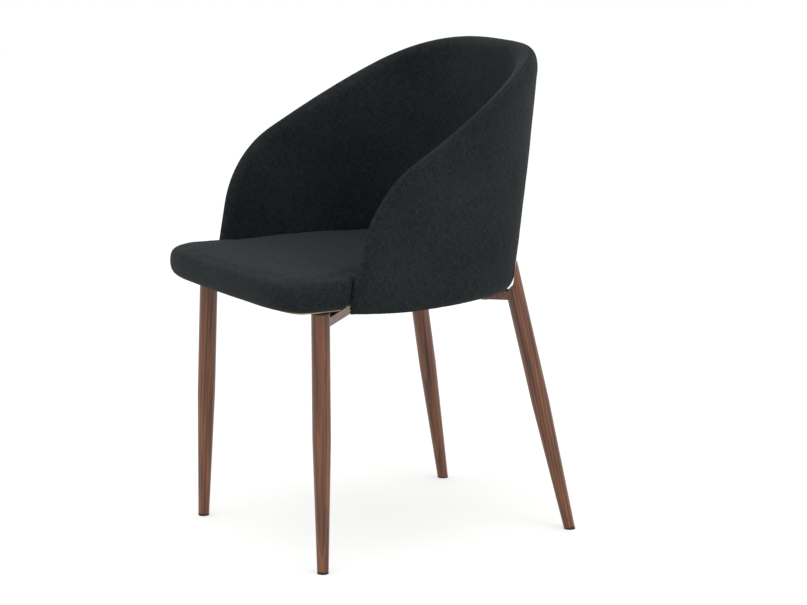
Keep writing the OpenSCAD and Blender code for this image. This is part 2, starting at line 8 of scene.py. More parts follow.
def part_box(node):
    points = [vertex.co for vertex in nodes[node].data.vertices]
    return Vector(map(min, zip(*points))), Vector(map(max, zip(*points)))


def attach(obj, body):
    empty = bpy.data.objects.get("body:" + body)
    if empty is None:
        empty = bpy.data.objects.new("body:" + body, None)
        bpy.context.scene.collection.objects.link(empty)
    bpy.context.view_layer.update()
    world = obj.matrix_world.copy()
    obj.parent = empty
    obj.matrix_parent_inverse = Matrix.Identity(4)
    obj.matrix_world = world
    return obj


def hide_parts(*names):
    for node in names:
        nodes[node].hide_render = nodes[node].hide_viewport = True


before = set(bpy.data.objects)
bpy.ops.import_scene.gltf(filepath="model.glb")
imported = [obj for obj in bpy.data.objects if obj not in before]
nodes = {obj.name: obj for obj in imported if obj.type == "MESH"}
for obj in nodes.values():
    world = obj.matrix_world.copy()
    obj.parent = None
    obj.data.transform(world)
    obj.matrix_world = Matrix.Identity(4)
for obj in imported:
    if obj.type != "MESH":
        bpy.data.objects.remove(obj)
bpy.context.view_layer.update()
bpy.ops.object.select_all(action="DESELECT")
print("frame loaded,", len(nodes), "parts")


def toLinear(hexCode):
    values = [int(hexCode[i:i + 2], 16) / 255 for i in (1, 3, 5)]
    return [v / 12.92 if v <= 0.04045 else ((v + 0.055) / 1.055) ** 2.4 for v in values] + [1.0]


def mixed(a, b, t):
    return a + (b - a) * t


def eased(t):
    t = min(max(t, 0.0), 1.0)
    return t * t * (3 - 2 * t)


def addNode(tree, kind, settings=None, inputs=None):
    made = tree.nodes.new(kind)
    for key, value in (settings or {}).items():
        setattr(made, key, value)
    for key, value in (inputs or {}).items():
        if isinstance(value, bpy.types.NodeSocket):
            tree.links.new(value, made.inputs[key])
        else:
            made.inputs[key].default_value = value
    return made


def newMaterial(name):
    made = bpy.data.materials.new(name)
    made.use_nodes = True
    made.node_tree.nodes.clear()
    return made, made.node_tree


def finishMaterial(tree, shader):
    addNode(tree, "ShaderNodeOutputMaterial", inputs={"Surface": shader.outputs[0]})


def colourRamp(tree, factor, stops):
    made = addNode(tree, "ShaderNodeValToRGB", inputs={"Fac": factor})
    ramp = made.color_ramp
    while len(ramp.elements) < len(stops):
        ramp.elements.new(0.5)
    for element, (place, colour) in zip(ramp.elements, stops):
        element.position = place
        element.color = toLinear(colour) if isinstance(colour, str) else (colour, colour, colour, 1)
    return made


def setMaterial(piece, material):
    piece.data.materials.clear()
    piece.data.materials.append(material)


# woven upholstery cloth: dyed polyester yarn, plain woven and brushed,
# so it is dark and matt, with a pale fuzz at a glancing view
cloth = {
    "dark": "#0c0e0e", "mid": "#191c1d", "light": "#2e3335",
    "pitch": 0.0016,          # yarns are 0.8 mm apart, drawn at twice that so that the weave shows
    "slubLong": 0.009, "slubWide": 0.0011,
    "mottle": 0.012, "cloud": 0.11,
    "roughness": 0.95, "sheen": 0.13, "sheenRoughness": 0.4,
}


def wovenCloth(name, spec):
    made, tree = newMaterial(name)
    coords = addNode(tree, "ShaderNodeUVMap", {"uv_map": "thread"})
    uv = coords.outputs["UV"]
    place = addNode(tree, "ShaderNodeTexCoord").outputs["Object"]
    bands = math.pi / (10 * spec["pitch"])      # the wave texture's period is pi / 10 over its scale
    warp = addNode(tree, "ShaderNodeTexWave", {"wave_type": "BANDS", "bands_direction": "X"},
                   {"Vector": uv, "Scale": bands, "Distortion": 0.6, "Detail": 1.0, "Detail Scale": 2.0})
    weft = addNode(tree, "ShaderNodeTexWave", {"wave_type": "BANDS", "bands_direction": "Y"},
                   {"Vector": uv, "Scale": bands, "Distortion": 0.6, "Detail": 1.0, "Detail Scale": 2.0})
    over = addNode(tree, "ShaderNodeTexChecker", inputs={"Vector": uv, "Scale": 1 / spec["pitch"],
                                                         "Color1": (1, 1, 1, 1), "Color2": (0, 0, 0, 1)})
    weave = addNode(tree, "ShaderNodeMix", {"data_type": "FLOAT"},
                    {"Factor": over.outputs["Fac"], "A": warp.outputs["Fac"], "B": weft.outputs["Fac"]})
    longSlub = addNode(tree, "ShaderNodeMapping", inputs={
        "Vector": uv, "Scale": (1 / spec["slubLong"], 1 / spec["slubWide"], 1)})
    crossSlub = addNode(tree, "ShaderNodeMapping", inputs={
        "Vector": uv, "Scale": (1 / spec["slubWide"], 1 / spec["slubLong"], 1)})
    slubA = addNode(tree, "ShaderNodeTexNoise",
                    inputs={"Vector": longSlub.outputs[0], "Scale": 1.0, "Detail": 2.0})
    slubB = addNode(tree, "ShaderNodeTexNoise",
                    inputs={"Vector": crossSlub.outputs[0], "Scale": 1.0, "Detail": 2.0})
    slub = addNode(tree, "ShaderNodeMath", {"operation": "ADD"},
                   {0: slubA.outputs["Fac"], 1: slubB.outputs["Fac"]})
    mottle = addNode(tree, "ShaderNodeTexNoise",
                     inputs={"Vector": place, "Scale": 1 / spec["mottle"], "Detail": 3.0,
                             "Roughness": 0.6})
    cloud = addNode(tree, "ShaderNodeTexNoise",
                    inputs={"Vector": place, "Scale": 1 / spec["cloud"], "Detail": 2.0})
    # yarn colour: mostly slubs, then the weave's own shade, then wear clouds
    shade = addNode(tree, "ShaderNodeMath", {"operation": "MULTIPLY_ADD"},
                    {0: slub.outputs[0], 1: 0.75, 2: -0.42})
    woven = addNode(tree, "ShaderNodeMath", {"operation": "MULTIPLY_ADD"},
                    {0: weave.outputs[0], 1: 0.26, 2: shade.outputs[0]})
    cloudy = addNode(tree, "ShaderNodeMath", {"operation": "MULTIPLY_ADD"},
                     {0: cloud.outputs["Fac"], 1: 0.3, 2: woven.outputs[0]})
    worn = addNode(tree, "ShaderNodeMath", {"operation": "MULTIPLY_ADD", "use_clamp": True},
                   {0: mottle.outputs["Fac"], 1: 0.25, 2: cloudy.outputs[0]})
    colour = colourRamp(tree, worn.outputs[0], [
        (0.3, spec["dark"]), (0.62, spec["mid"]), (0.95, spec["light"])])
    fuzz = addNode(tree, "ShaderNodeMath", {"operation": "MULTIPLY_ADD"},
                   {0: slub.outputs[0], 1: 0.35, 2: weave.outputs[0]})
    bump = addNode(tree, "ShaderNodeBump",
                   inputs={"Strength": 0.35, "Distance": 0.0004, "Height": fuzz.outputs[0]})
    shader = addNode(tree, "ShaderNodeBsdfPrincipled", inputs={
        "Base Color": colour.outputs["Color"], "Roughness": spec["roughness"], "Normal": bump.outputs[0],
        "IOR": 1.45, "Specular IOR Level": 0.15,
        "Sheen Weight": spec["sheen"], "Sheen Roughness": spec["sheenRoughness"],
        "Sheen Tint": toLinear("#b4b9ba")})
    finishMaterial(tree, shader)
    return made


upholstery = wovenCloth("wovenCharcoalCloth", cloth)

# walnut transfer film on powder-coated tube: printed grain under a satin lacquer,
# so it is smooth to the touch
film = {
    "deep": "#22100a", "dark": "#402113", "mid": "#653820", "light": "#86532f",
    "ring": 0.0052, "tilt": 3.0, "ringStretch": 0.35,     # growth rings, cut at a slant
    "poreLong": 0.018, "poreWide": 0.0007, "band": 0.0065, "bandRepeat": 7,
    "roughness": 0.36,
}


def walnutFilm(name, along, offset, spec=film):
    made, tree = newMaterial(name)
    place = addNode(tree, "ShaderNodeTexCoord").outputs["Object"]
    turn = Vector(along).normalized().rotation_difference(Vector((0, 0, 1))).to_euler()
    tilt = math.radians(spec["tilt"])
    upright = addNode(tree, "ShaderNodeMapping",
                      inputs={"Vector": place, "Rotation": turn, "Location": offset})
    slant = addNode(tree, "ShaderNodeMapping", inputs={
        "Vector": upright.outputs[0], "Rotation": (tilt, -tilt, 0),
        "Scale": (1, 1, spec["ringStretch"])})
    rings = addNode(tree, "ShaderNodeTexWave",
                    {"wave_type": "RINGS", "rings_direction": "Z", "wave_profile": "SAW"},
                    {"Vector": slant.outputs[0], "Scale": math.pi / (10 * spec["ring"]),
                     "Distortion": 5.0, "Detail": 2.0, "Detail Scale": 0.12, "Detail Roughness": 0.5})
    poreMap = addNode(tree, "ShaderNodeMapping", inputs={
        "Vector": upright.outputs[0],
        "Scale": (1 / spec["poreWide"], 1 / spec["poreWide"], 1 / spec["poreLong"])})
    pores = addNode(tree, "ShaderNodeTexNoise",
                    inputs={"Vector": poreMap.outputs[0], "Scale": 1.0, "Detail": 2.0})
    bandMap = addNode(tree, "ShaderNodeMapping", inputs={
        "Vector": upright.outputs[0], "Scale": (1 / spec["band"], 1 / spec["band"], spec["bandRepeat"])})
    bands = addNode(tree, "ShaderNodeTexNoise",
                    inputs={"Vector": bandMap.outputs[0], "Scale": 1.0, "Detail": 3.0})
    figure = addNode(tree, "ShaderNodeMath", {"operation": "MULTIPLY_ADD"},
                     {0: rings.outputs["Fac"], 1: 0.3, 2: 0.02})
    banded = addNode(tree, "ShaderNodeMath", {"operation": "MULTIPLY_ADD"},
                     {0: bands.outputs["Fac"], 1: 0.85, 2: figure.outputs[0]})
    grain = addNode(tree, "ShaderNodeMath", {"operation": "MULTIPLY_ADD", "use_clamp": True},
                    {0: pores.outputs["Fac"], 1: 0.3, 2: banded.outputs[0]})
    colour = colourRamp(tree, grain.outputs[0], [
        (0.36, spec["deep"]), (0.52, spec["dark"]), (0.7, spec["mid"]), (0.95, spec["light"])])
    bump = addNode(tree, "ShaderNodeBump", inputs={"Strength": 0.08, "Distance": 0.0002,
                                                   "Height": pores.outputs["Fac"]})
    shader = addNode(tree, "ShaderNodeBsdfPrincipled", inputs={
        "Base Color": colour.outputs["Color"], "Roughness": spec["roughness"], "IOR": 1.5,
        "Normal": bump.outputs[0], "Coat Weight": 0.08, "Coat Roughness": 0.25})
    finishMaterial(tree, shader)
    return made


# moulded polypropylene: near black, a fine spark-eroded matt
def mouldedPlastic(name, tone, spark):
    made, tree = newMaterial(name)
    place = addNode(tree, "ShaderNodeTexCoord").outputs["Object"]
    grit = addNode(tree, "ShaderNodeTexNoise",
                   inputs={"Vector": place, "Scale": 1 / spark, "Detail": 2.0})
    colour = colourRamp(tree, grit.outputs["Fac"], [(0.3, tone[0]), (0.7, tone[1])])
    rough = addNode(tree, "ShaderNodeMapRange",
                    inputs={"Value": grit.outputs["Fac"], "To Min": 0.48, "To Max": 0.66})
    bump = addNode(tree, "ShaderNodeBump", inputs={"Strength": 0.25, "Distance": 0.0002,
                                                   "Height": grit.outputs["Fac"]})
    shader = addNode(tree, "ShaderNodeBsdfPrincipled", inputs={
        "Base Color": colour.outputs["Color"], "Roughness": rough.outputs[0], "Normal": bump.outputs[0]})
    finishMaterial(tree, shader)
    return made


# zinc-plated steel: rolled and plated, so bright grey with faint cloudy streaks
def zincPlate(name, spec):
    made, tree = newMaterial(name)
    place = addNode(tree, "ShaderNodeTexCoord").outputs["Object"]
    cloud = addNode(tree, "ShaderNodeTexNoise",
                    inputs={"Vector": place, "Scale": 1 / spec["cloud"], "Detail": 4.0})
    colour = colourRamp(tree, cloud.outputs["Fac"], [(0.3, spec["dull"]), (0.75, spec["bright"])])
    rough = addNode(tree, "ShaderNodeMapRange",
                    inputs={"Value": cloud.outputs["Fac"], "To Min": 0.28, "To Max": 0.5})
    bump = addNode(tree, "ShaderNodeBump", inputs={"Strength": 0.12, "Distance": 0.0002,
                                                   "Height": cloud.outputs["Fac"]})
    shader = addNode(tree, "ShaderNodeBsdfPrincipled", inputs={
        "Base Color": colour.outputs["Color"], "Metallic": 1.0, "Roughness": rough.outputs[0],
        "Normal": bump.outputs[0]})
    finishMaterial(tree, shader)
    return made


# raw birch plywood: rotary-cut face with soft waves of grain
def rawPlywood(name, spec):
    made, tree = newMaterial(name)
    place = addNode(tree, "ShaderNodeTexCoord").outputs["Object"]
    along = addNode(tree, "ShaderNodeMapping", inputs={
        "Vector": place, "Scale": (1 / spec["wide"], 1 / spec["long"], 1 / spec["wide"])})
    grain = addNode(tree, "ShaderNodeTexNoise",
                    inputs={"Vector": along.outputs[0], "Scale": 1.0, "Detail": 4.0})
    colour = colourRamp(tree, grain.outputs["Fac"], [(0.3, spec["dark"]), (0.7, spec["light"])])
    bump = addNode(tree, "ShaderNodeBump", inputs={"Strength": 0.2, "Distance": 0.0003,
                                                   "Height": grain.outputs["Fac"]})
    shader = addNode(tree, "ShaderNodeBsdfPrincipled", inputs={
        "Base Color": colour.outputs["Color"], "Roughness": 0.7, "Normal": bump.outputs[0]})
    finishMaterial(tree, shader)
    return made


# spun-bonded polypropylene lining: thin, matt black, embossed with rows of small dots
def spunLining(name, spec):
    made, tree = newMaterial(name)
    place = addNode(tree, "ShaderNodeTexCoord").outputs["Object"]
    dots = addNode(tree, "ShaderNodeTexVoronoi",
                   inputs={"Vector": place, "Scale": 1 / spec["dot"], "Randomness": 0.1})
    fibre = addNode(tree, "ShaderNodeTexNoise",
                    inputs={"Vector": place, "Scale": 1 / spec["fibre"], "Detail": 4.0})
    colour = colourRamp(tree, fibre.outputs["Fac"], [(0.3, spec["dark"]), (0.75, spec["light"])])
    bump = addNode(tree, "ShaderNodeBump", inputs={"Strength": 0.4, "Distance": 0.0003,
                                                   "Height": dots.outputs["Distance"]})
    shader = addNode(tree, "ShaderNodeBsdfPrincipled", inputs={
        "Base Color": colour.outputs["Color"], "Roughness": 0.95, "Normal": bump.outputs[0]})
    finishMaterial(tree, shader)
    return made


blackPlastic = mouldedPlastic("mouldedBlackPolypropylene", ("#121214", "#1e1e20"), 0.0006)
zincSteel = zincPlate("zincPlatedSteel", {"cloud": 0.006, "dull": "#a4a6a8", "bright": "#c9cbcc"})
plywood = rawPlywood("rawBirchPlywood",
                     {"wide": 0.012, "long": 0.12, "dark": "#b8925f", "light": "#d6b88a"})
lining = spunLining("spunBondedLining",
                    {"dot": 0.0016, "fibre": 0.004, "dark": "#101011", "light": "#1d1d1f"})


# finishes on the parts that are kept as they are
legSpec = {
    "leg_front_left": (0.013, 0.041, 0.0), "leg_front_right": (-0.021, 0.035, 0.17),
    "leg_rear_left": (0.027, -0.018, 0.31), "leg_rear_right": (0.031, 0.022, 0.53),
}


def lineOf(piece):
    points = np.array([v.co for v in piece.data.vertices], float)
    centred = points - points.mean(0)
    return np.linalg.eigh(centred.T @ centred)[1][:, -1]


for name, node in nodes.items():
    if name in legSpec:
        setMaterial(node, walnutFilm("walnutFilm." + name, lineOf(node), legSpec[name]))
for name in ("stub_front_left", "stub_front_right", "stub_rear_left", "stub_rear_right",
             "rail_long", "rail_short_front", "rail_short_rear", "centre_plate"):
    setMaterial(nodes[name], walnutFilm("walnutFilm." + name, lineOf(nodes[name]), (0.02, 0.03, 0.1)))
for side in ("left", "right"):
    plate = "leg_plate_" + side
    setMaterial(nodes[plate], walnutFilm("walnutFilm." + plate, (1, 0, 0), (0, 0.04, 0)))
for name, node in nodes.items():
    if name.startswith(("glide_", "leg_cap_")):
        setMaterial(node, blackPlastic)
    if name.startswith(("rail_spigots", "spigot_screws", "seat_spacers", "seat_bolts", "seat_washers",
                        "tee_nuts", "bracket_bolts", "shell_bracket", "shell_screws", "cloth_staples")):
        setMaterial(node, zincSteel)
    if name in ("seat_board", "shell_core"):
        setMaterial(node, plywood)
print("finishes set")

# the shell's cover: outer and inner panels sewn together along the ridge, over foam on the moulded shell
shell = {
    "height": 0.790, "bottom": 0.402, "halfBottom": 0.214, "halfTop": 0.252,
    "backBottom": 0.456, "backTop": 0.515, "cornerBottom": 3.9, "cornerTop": 2.9,
    "widest": 0.293, "shift": 0.0335, "ply": 0.009, "glue": 0.0005,
    "outerPad": 0.0082, "armPad": 0.0072, "backPad": 0.0152,
    "tuck": 0.017, "leastTuck": 0.003, "curlRise": 1.4,
    "armAngle": 40.0, "backAngle": 68.0, "rollShare": 0.4,
    "armReach": 0.198, "armLean": 13.2, "armHeight": 0.599, "armBend": 0.185, "ridgeSlope": 28.8,
    "seatBottom": 0.411, "easeLength": 0.120, "fan": 0.75, "least": 0.010,
    "armLift": 0.009, "liftLength": 0.170, "backRoll": 0.028,
    "innerBottom": 0.431, "coreBottom": 0.414,
    "edgeSteps": 40, "bendSteps": 30, "slopeSteps": 90, "rollRows": 12, "wallRows": 34,
    "seamDip": 0.0014, "seamWide": 0.0035,
    "soft": 0.0007, "softLength": 0.085, "pucker": 0.00022, "puckerLength": 0.016,
    "puckerShift": (3, 5, 7), "seamPucker": 0.6, "smoothAngle": 50.0,
    "midHeight": 0.58, "aroundSteps": 721,           # where the length around the shell is measured
    "ledgeGap": 0.001, "leastLedge": 0.5, "curlShare": 0.4, "ridgeGuess": 0.68, "ridgePasses": 6,
}


def level(z):
    return (z - shell["bottom"]) / (shell["height"] - shell["bottom"])


def halfWidth(z):
    return mixed(shell["halfBottom"], shell["halfTop"], level(z))


def backDepth(z):
    return mixed(shell["backBottom"], shell["backTop"], level(z))


def squareness(z):
    return mixed(shell["cornerBottom"], shell["cornerTop"], level(z))


def planPoint(angle, z):
    c, s, n = math.cos(math.radians(angle)), math.sin(math.radians(angle)), squareness(z)
    r = ((abs(c) / halfWidth(z)) ** n + (abs(s) / backDepth(z)) ** n) ** (-1 / n)
    return r * c, r * s


def shellPoint(angle, z, out):
    x, y = planPoint(angle, z)
    n = squareness(z)
    gx = math.copysign((abs(x) / halfWidth(z)) ** (n - 1) / halfWidth(z), x)
    gy = (abs(y) / backDepth(z)) ** (n - 1) / backDepth(z)
    size = math.hypot(gx, gy)
    return Vector((x + out * gx / size, y - shell["widest"] + shell["shift"] + out * gy / size, z))


def angleAt(y, z):
    t = (y + shell["widest"]) / backDepth(z)
    n = squareness(z)
    return math.degrees(math.atan2(y + shell["widest"], halfWidth(z) * (1 - t ** n) ** (1 / n)))


armLean, ridgeSlope = math.radians(shell["armLean"]), math.radians(shell["ridgeSlope"])
cornerY = -shell["armReach"] + (shell["armHeight"] - shell["seatBottom"]) * math.tan(armLean)
bendAngle = math.pi / 2 - armLean - ridgeSlope
bendRun = shell["armBend"] * math.tan(bendAngle / 2)
bendStart = (cornerY - bendRun * math.sin(armLean), shell["armHeight"] - bendRun * math.cos(armLean))
bendCentre = (bendStart[0] + shell["armBend"] * math.cos(armLean),
              bendStart[1] - shell["armBend"] * math.sin(armLean))
bendEndY = cornerY + bendRun * math.cos(ridgeSlope)
backY = backDepth(shell["height"]) - shell["widest"]
slopeAtBack = shell["armHeight"] + (backY - cornerY) * math.tan(ridgeSlope)


def ridgeZ(y):
    past = max(y - (backY - shell["easeLength"]), 0) / shell["easeLength"]
    straight = shell["armHeight"] + (y - cornerY) * math.tan(ridgeSlope)
    return straight - (slopeAtBack - shell["height"]) * past ** 2


def edgeY(z):
    return -shell["armReach"] + (z - shell["seatBottom"]) * math.tan(armLean)


def ridgeAt(angle):
    z = shell["ridgeGuess"]
    for _ in range(shell["ridgePasses"]):
        z = ridgeZ(planPoint(angle, z)[1] - shell["widest"])
    return z


def ridgeSide(zLow):
    found = []
    for i in range(shell["edgeSteps"]):
        z = mixed(zLow, bendStart[1], i / shell["edgeSteps"])
        found.append((angleAt(edgeY(z), z), z))
    for i in range(shell["bendSteps"]):
        t = math.pi - armLean - bendAngle * i / shell["bendSteps"]
        y = bendCentre[0] + shell["armBend"] * math.cos(t)
        z = bendCentre[1] + shell["armBend"] * math.sin(t)
        found.append((angleAt(y, z), z))
    start = angleAt(bendEndY, ridgeZ(bendEndY))
    for i in range(shell["slopeSteps"] + 1):
        angle = mixed(start, 90, i / shell["slopeSteps"])
        found.append((angle, ridgeAt(angle)))
    return found


def lowerEdge(angle):
    behind = planPoint(angle, shell["bottom"])[1] - shell["widest"] + shell["armReach"]
    past = min(max(behind / shell["liftLength"], 0), 1)
    return shell["bottom"] + shell["armLift"] * (1 - past) ** 2


def columnsFrom(zFoot):
    ridge = ridgeSide(shell["bottom"] + shell["armLift"] + shell["least"])
    last = len(ridge) - 1
    footStart = angleAt(edgeY(shell["bottom"]), shell["bottom"])
    side = []
    for i, (angle, z) in enumerate(ridge):
        foot = mixed(footStart, 90, (i / last) ** shell["fan"])
        edge = lowerEdge(foot)
        if z >= zFoot + shell["least"]:
            end = max(zFoot, edge)
            side.append((angle, z, mixed(angle, foot, (z - end) / (z - edge)), end))
    return side + [(180 - a, z, 180 - b, f) for a, z, b, f in reversed(side[:-1])]


def towardBack(angle):
    return eased((90 - abs(angle - 90) - shell["armAngle"]) / (shell["backAngle"] - shell["armAngle"]))


outerFace = shell["ply"] / 2 + shell["glue"] + shell["outerPad"]


def innerFace(angle):
    pad = mixed(shell["armPad"], shell["backPad"], towardBack(angle))
    return -(shell["ply"] / 2 + shell["glue"] + pad)


def seamDip(out):
    return shell["seamDip"] * (1 - eased(abs(out) / shell["seamWide"]))


def outerRing(column):
    a, z, foot, zFoot = column
    long = (shellPoint(a, z, 0) - shellPoint(foot, zFoot, 0)).length
    top = min(outerFace + shell["ply"] / 2, long * shell["rollShare"])
    tuck = mixed(shell["leastTuck"], shell["tuck"], towardBack(foot))
    high = min(tuck * shell["curlRise"], long * shell["curlShare"])
    back = shell["ply"] / 2 + shell["glue"]
    ledge = min(shell["coreBottom"] - shell["bottom"] - shell["glue"] - shell["ledgeGap"],
                high * shell["leastLedge"])
    rows, walls = shell["rollRows"], shell["wallRows"]
    roll = mixed(top, min(shell["backRoll"], long * shell["rollShare"]), towardBack(foot))
    path = []
    for i in range(rows + 1):                                    # from the seam over the rolled edge
        t = math.pi / 2 * (1 - i / rows)
        out = shell["glue"] / 2 + (outerFace - shell["glue"] / 2) * math.cos(t)
        path.append((out, roll * (1 - math.sin(t)) + seamDip(out), 1))
    for i in range(1, walls + 1):                                # down the outside
        path.append((outerFace, mixed(roll, long - high, i / walls), 2))
    for i in range(1, rows + 1):                                 # curled in under the shell
        t = math.pi / 2 * i / rows
        path.append((outerFace - tuck * (1 - math.cos(t)), long - high * (1 - math.sin(t)), 3))
    path.append((min(outerFace - tuck, back), long - ledge, 0))
    path.append((back, long - ledge, 0))
    path.append((back, mixed(top, long - high, 0.5), 0))
    path.append((back, top - shell["ledgeGap"], 0))
    path.append((shell["glue"] / 2, top - shell["ledgeGap"], 0))
    return long, path


def innerRing(column):
    a, z, foot, zFoot = column
    long = (shellPoint(a, z, 0) - shellPoint(foot, zFoot, 0)).length
    top = min(outerFace + shell["ply"] / 2, long * shell["rollShare"])
    back = -shell["ply"] / 2 - shell["glue"]
    rows, walls = shell["rollRows"], shell["wallRows"]
    seam = -shell["glue"] / 2
    face = innerFace(mixed(a, foot, top / long))
    path = []
    for i in range(rows + 1):
        t = math.pi / 2 * (1 - i / rows)
        out = seam + (face - seam) * math.cos(t)
        path.append((out, top * (1 - math.sin(t)) + seamDip(out), 1))
    for i in range(1, walls + 1):
        d = mixed(top, long, i / walls)
        path.append((innerFace(mixed(a, foot, d / long)), d, 2))
    path.append((back, long, 0))
    path.append((back, mixed(top, long, 0.5), 0))
    path.append((back, top - shell["ledgeGap"], 0))
    path.append((seam, top - shell["ledgeGap"], 0))
    return long, path


def softened(point, scale, amount):
    return amount * noise.noise(point / scale)


def panel(name, columns, ringOf):
    points, threads, kinds = [], [], []
    midAngles = np.linspace(0, 180, shell["aroundSteps"])
    midCurve = np.array([shellPoint(a, shell["midHeight"], 0)[:2] for a in midAngles])
    around = np.concatenate([[0], np.cumsum(np.linalg.norm(np.diff(midCurve, axis=0), axis=1))])
    for column in columns:
        long, path = ringOf(column)
        line = []
        for out, down, kind in path:
            share = down / long
            angle = mixed(column[0], column[2], share)
            line.append((shellPoint(angle, mixed(column[1], column[3], share), out), angle))
        firstWall = next(i for i, p in enumerate(path) if p[2] == 2) - 1
        lastWall = max(i for i, p in enumerate(path) if p[2] == 2)
        heights = [p.z for p, _ in line]
        for i in range(firstWall - 1, -1, -1):
            heights[i] = heights[i + 1] + (line[i][0] - line[i + 1][0]).length
        for i in range(lastWall + 1, len(line)):
            heights[i] = heights[i - 1] - (line[i][0] - line[i - 1][0]).length
        for (p, angle), height, (_, _, kind) in zip(line, heights, path):
            points.append(p)
            threads.append((float(np.interp(angle, midAngles, around)), height))
            kinds.append(kind)
    n, m = len(path), len(columns)
    faces = [(i * n + j, i * n + (j + 1) % n, (i + 1) * n + (j + 1) % n, (i + 1) * n + j)
             for i in range(m - 1) for j in range(n)]
    for ends, flip in ((range(n), False), (range((m - 1) * n, m * n), True)):
        middle = sum((points[k] for k in ends), Vector()) / n
        points.append(middle)
        threads.append(threads[ends[0]])
        kinds.append(0)
        hub = len(points) - 1
        for j in range(n):
            a, b = ends[j], ends[(j + 1) % n]
            faces.append((hub, a, b) if flip else (hub, b, a))
    mesh = bpy.data.meshes.new(name)
    mesh.from_pydata(points, [], faces)
    piece = bpy.data.objects.new(name, mesh)
    bpy.context.scene.collection.objects.link(piece)
    bpy.context.view_layer.objects.active = piece
    piece.select_set(True)
    bpy.ops.object.mode_set(mode="EDIT")
    bpy.ops.mesh.select_all(action="SELECT")
    bpy.ops.mesh.normals_make_consistent(inside=False)
    bpy.ops.object.mode_set(mode="OBJECT")
    # foam lies a little unevenly under the cloth, less so at the seam
    shift = Vector(shell["puckerShift"])
    moved = []
    for vertex, kind in zip(mesh.vertices, kinds):
        rise = 0.0
        if kind in (2, 3):
            rise = softened(vertex.co, shell["softLength"], shell["soft"]) \
                + softened(vertex.co + shift, shell["puckerLength"], shell["pucker"])
        elif kind == 1:
            rise = shell["seamPucker"] * softened(
                vertex.co + shift, shell["puckerLength"], shell["pucker"])
        moved.append(vertex.co + vertex.normal * rise)
    for vertex, place in zip(mesh.vertices, moved):
        vertex.co = place
    layer = mesh.uv_layers.new(name="thread")
    for loop in mesh.loops:
        layer.data[loop.index].uv = threads[loop.vertex_index]
    bpy.ops.object.shade_smooth_by_angle(angle=math.radians(shell["smoothAngle"]))
    piece.select_set(False)
    setMaterial(piece, upholstery)
    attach(piece, "root")
    return piece


outerCover = panel("shellCoverOutside", columnsFrom(shell["bottom"]), outerRing)
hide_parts("shell_outer_pad")
innerCover = panel("shellCoverInside", columnsFrom(shell["innerBottom"]), innerRing)
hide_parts("shell_inner_pad")
print("shell covers made")

# the seat: a foam pad on its board, its cover pulled under and stapled
seat = {
    "voxel": 0.005, "start": -0.0018, "pressure": 4.0, "frames": 20, "cap": 0.003,
    "pinBelow": 0.026, "mass": 0.3, "quality": 5, "smooth": 10, "settle": 8,
    "soft": 0.0007, "softLength": 0.07, "smoothAngle": 50.0, "mergeGap": 0.00002,
}


def copyOf(node, name):
    piece = bpy.data.objects.new(name, nodes[node].data.copy())
    bpy.context.scene.collection.objects.link(piece)
    bpy.context.view_layer.objects.active = piece
    piece.select_set(True)
    bpy.ops.object.mode_set(mode="EDIT")
    bpy.ops.mesh.select_all(action="SELECT")
    bpy.ops.mesh.remove_doubles(threshold=seat["mergeGap"])
    bpy.ops.mesh.normals_make_consistent(inside=False)
    bpy.ops.object.mode_set(mode="OBJECT")
    return piece


def applyModifier(piece, kind, **settings):
    made = piece.modifiers.new(kind.lower(), kind)
    for key, value in settings.items():
        setattr(made, key, value)
    bpy.ops.object.modifier_apply(modifier=made.name)


def coordsOf(mesh):
    found = np.zeros(len(mesh.vertices) * 3)
    mesh.vertices.foreach_get("co", found)
    return found.reshape(-1, 3)


def plump(piece, spec, low):
    before = coordsOf(piece.data)
    rest = piece.data.copy()
    pinned = piece.vertex_groups.new(name="pinned")
    pinned.add([i for i, p in enumerate(before) if p[2] < low + spec["pinBelow"]], 1.0, "REPLACE")
    made = piece.modifiers.new("cloth", "CLOTH")
    made.settings.quality = spec["quality"]
    made.settings.mass = spec["mass"]
    made.settings.use_pressure = True
    made.settings.uniform_pressure_force = spec["pressure"]
    made.settings.vertex_group_mass = "pinned"
    made.settings.effector_weights.gravity = 0
    made.collision_settings.use_self_collision = False
    scene = bpy.context.scene
    for step in range(1, spec["frames"] + 1):
        scene.frame_set(step)
    bpy.ops.object.modifier_apply(modifier="cloth")
    scene.frame_set(1)
    after = coordsOf(piece.data)
    outward = np.zeros(len(before) * 3)
    rest.vertices.foreach_get("normal", outward)
    outward = outward.reshape(-1, 3)
    swell = np.clip(np.einsum("ij,ij->i", after - before, outward), 0, spec["cap"])
    piece.data.vertices.foreach_set("co", (before + outward * swell[:, None]).ravel())
    piece.data.update()
    bpy.data.meshes.remove(rest)
    print("seat swelled by", round(float(swell.mean()) * 1000, 2), "mm on average")


def boxThreads(mesh):
    layer = mesh.uv_layers.new(name="thread")
    for face in mesh.polygons:
        n = face.normal
        for index in face.loop_indices:
            x, y, z = mesh.vertices[mesh.loops[index].vertex_index].co
            if abs(n.z) > 0.7:
                layer.data[index].uv = (x, y)
            elif abs(n.y) > abs(n.x):
                layer.data[index].uv = (x, z)
            else:
                layer.data[index].uv = (y, z)


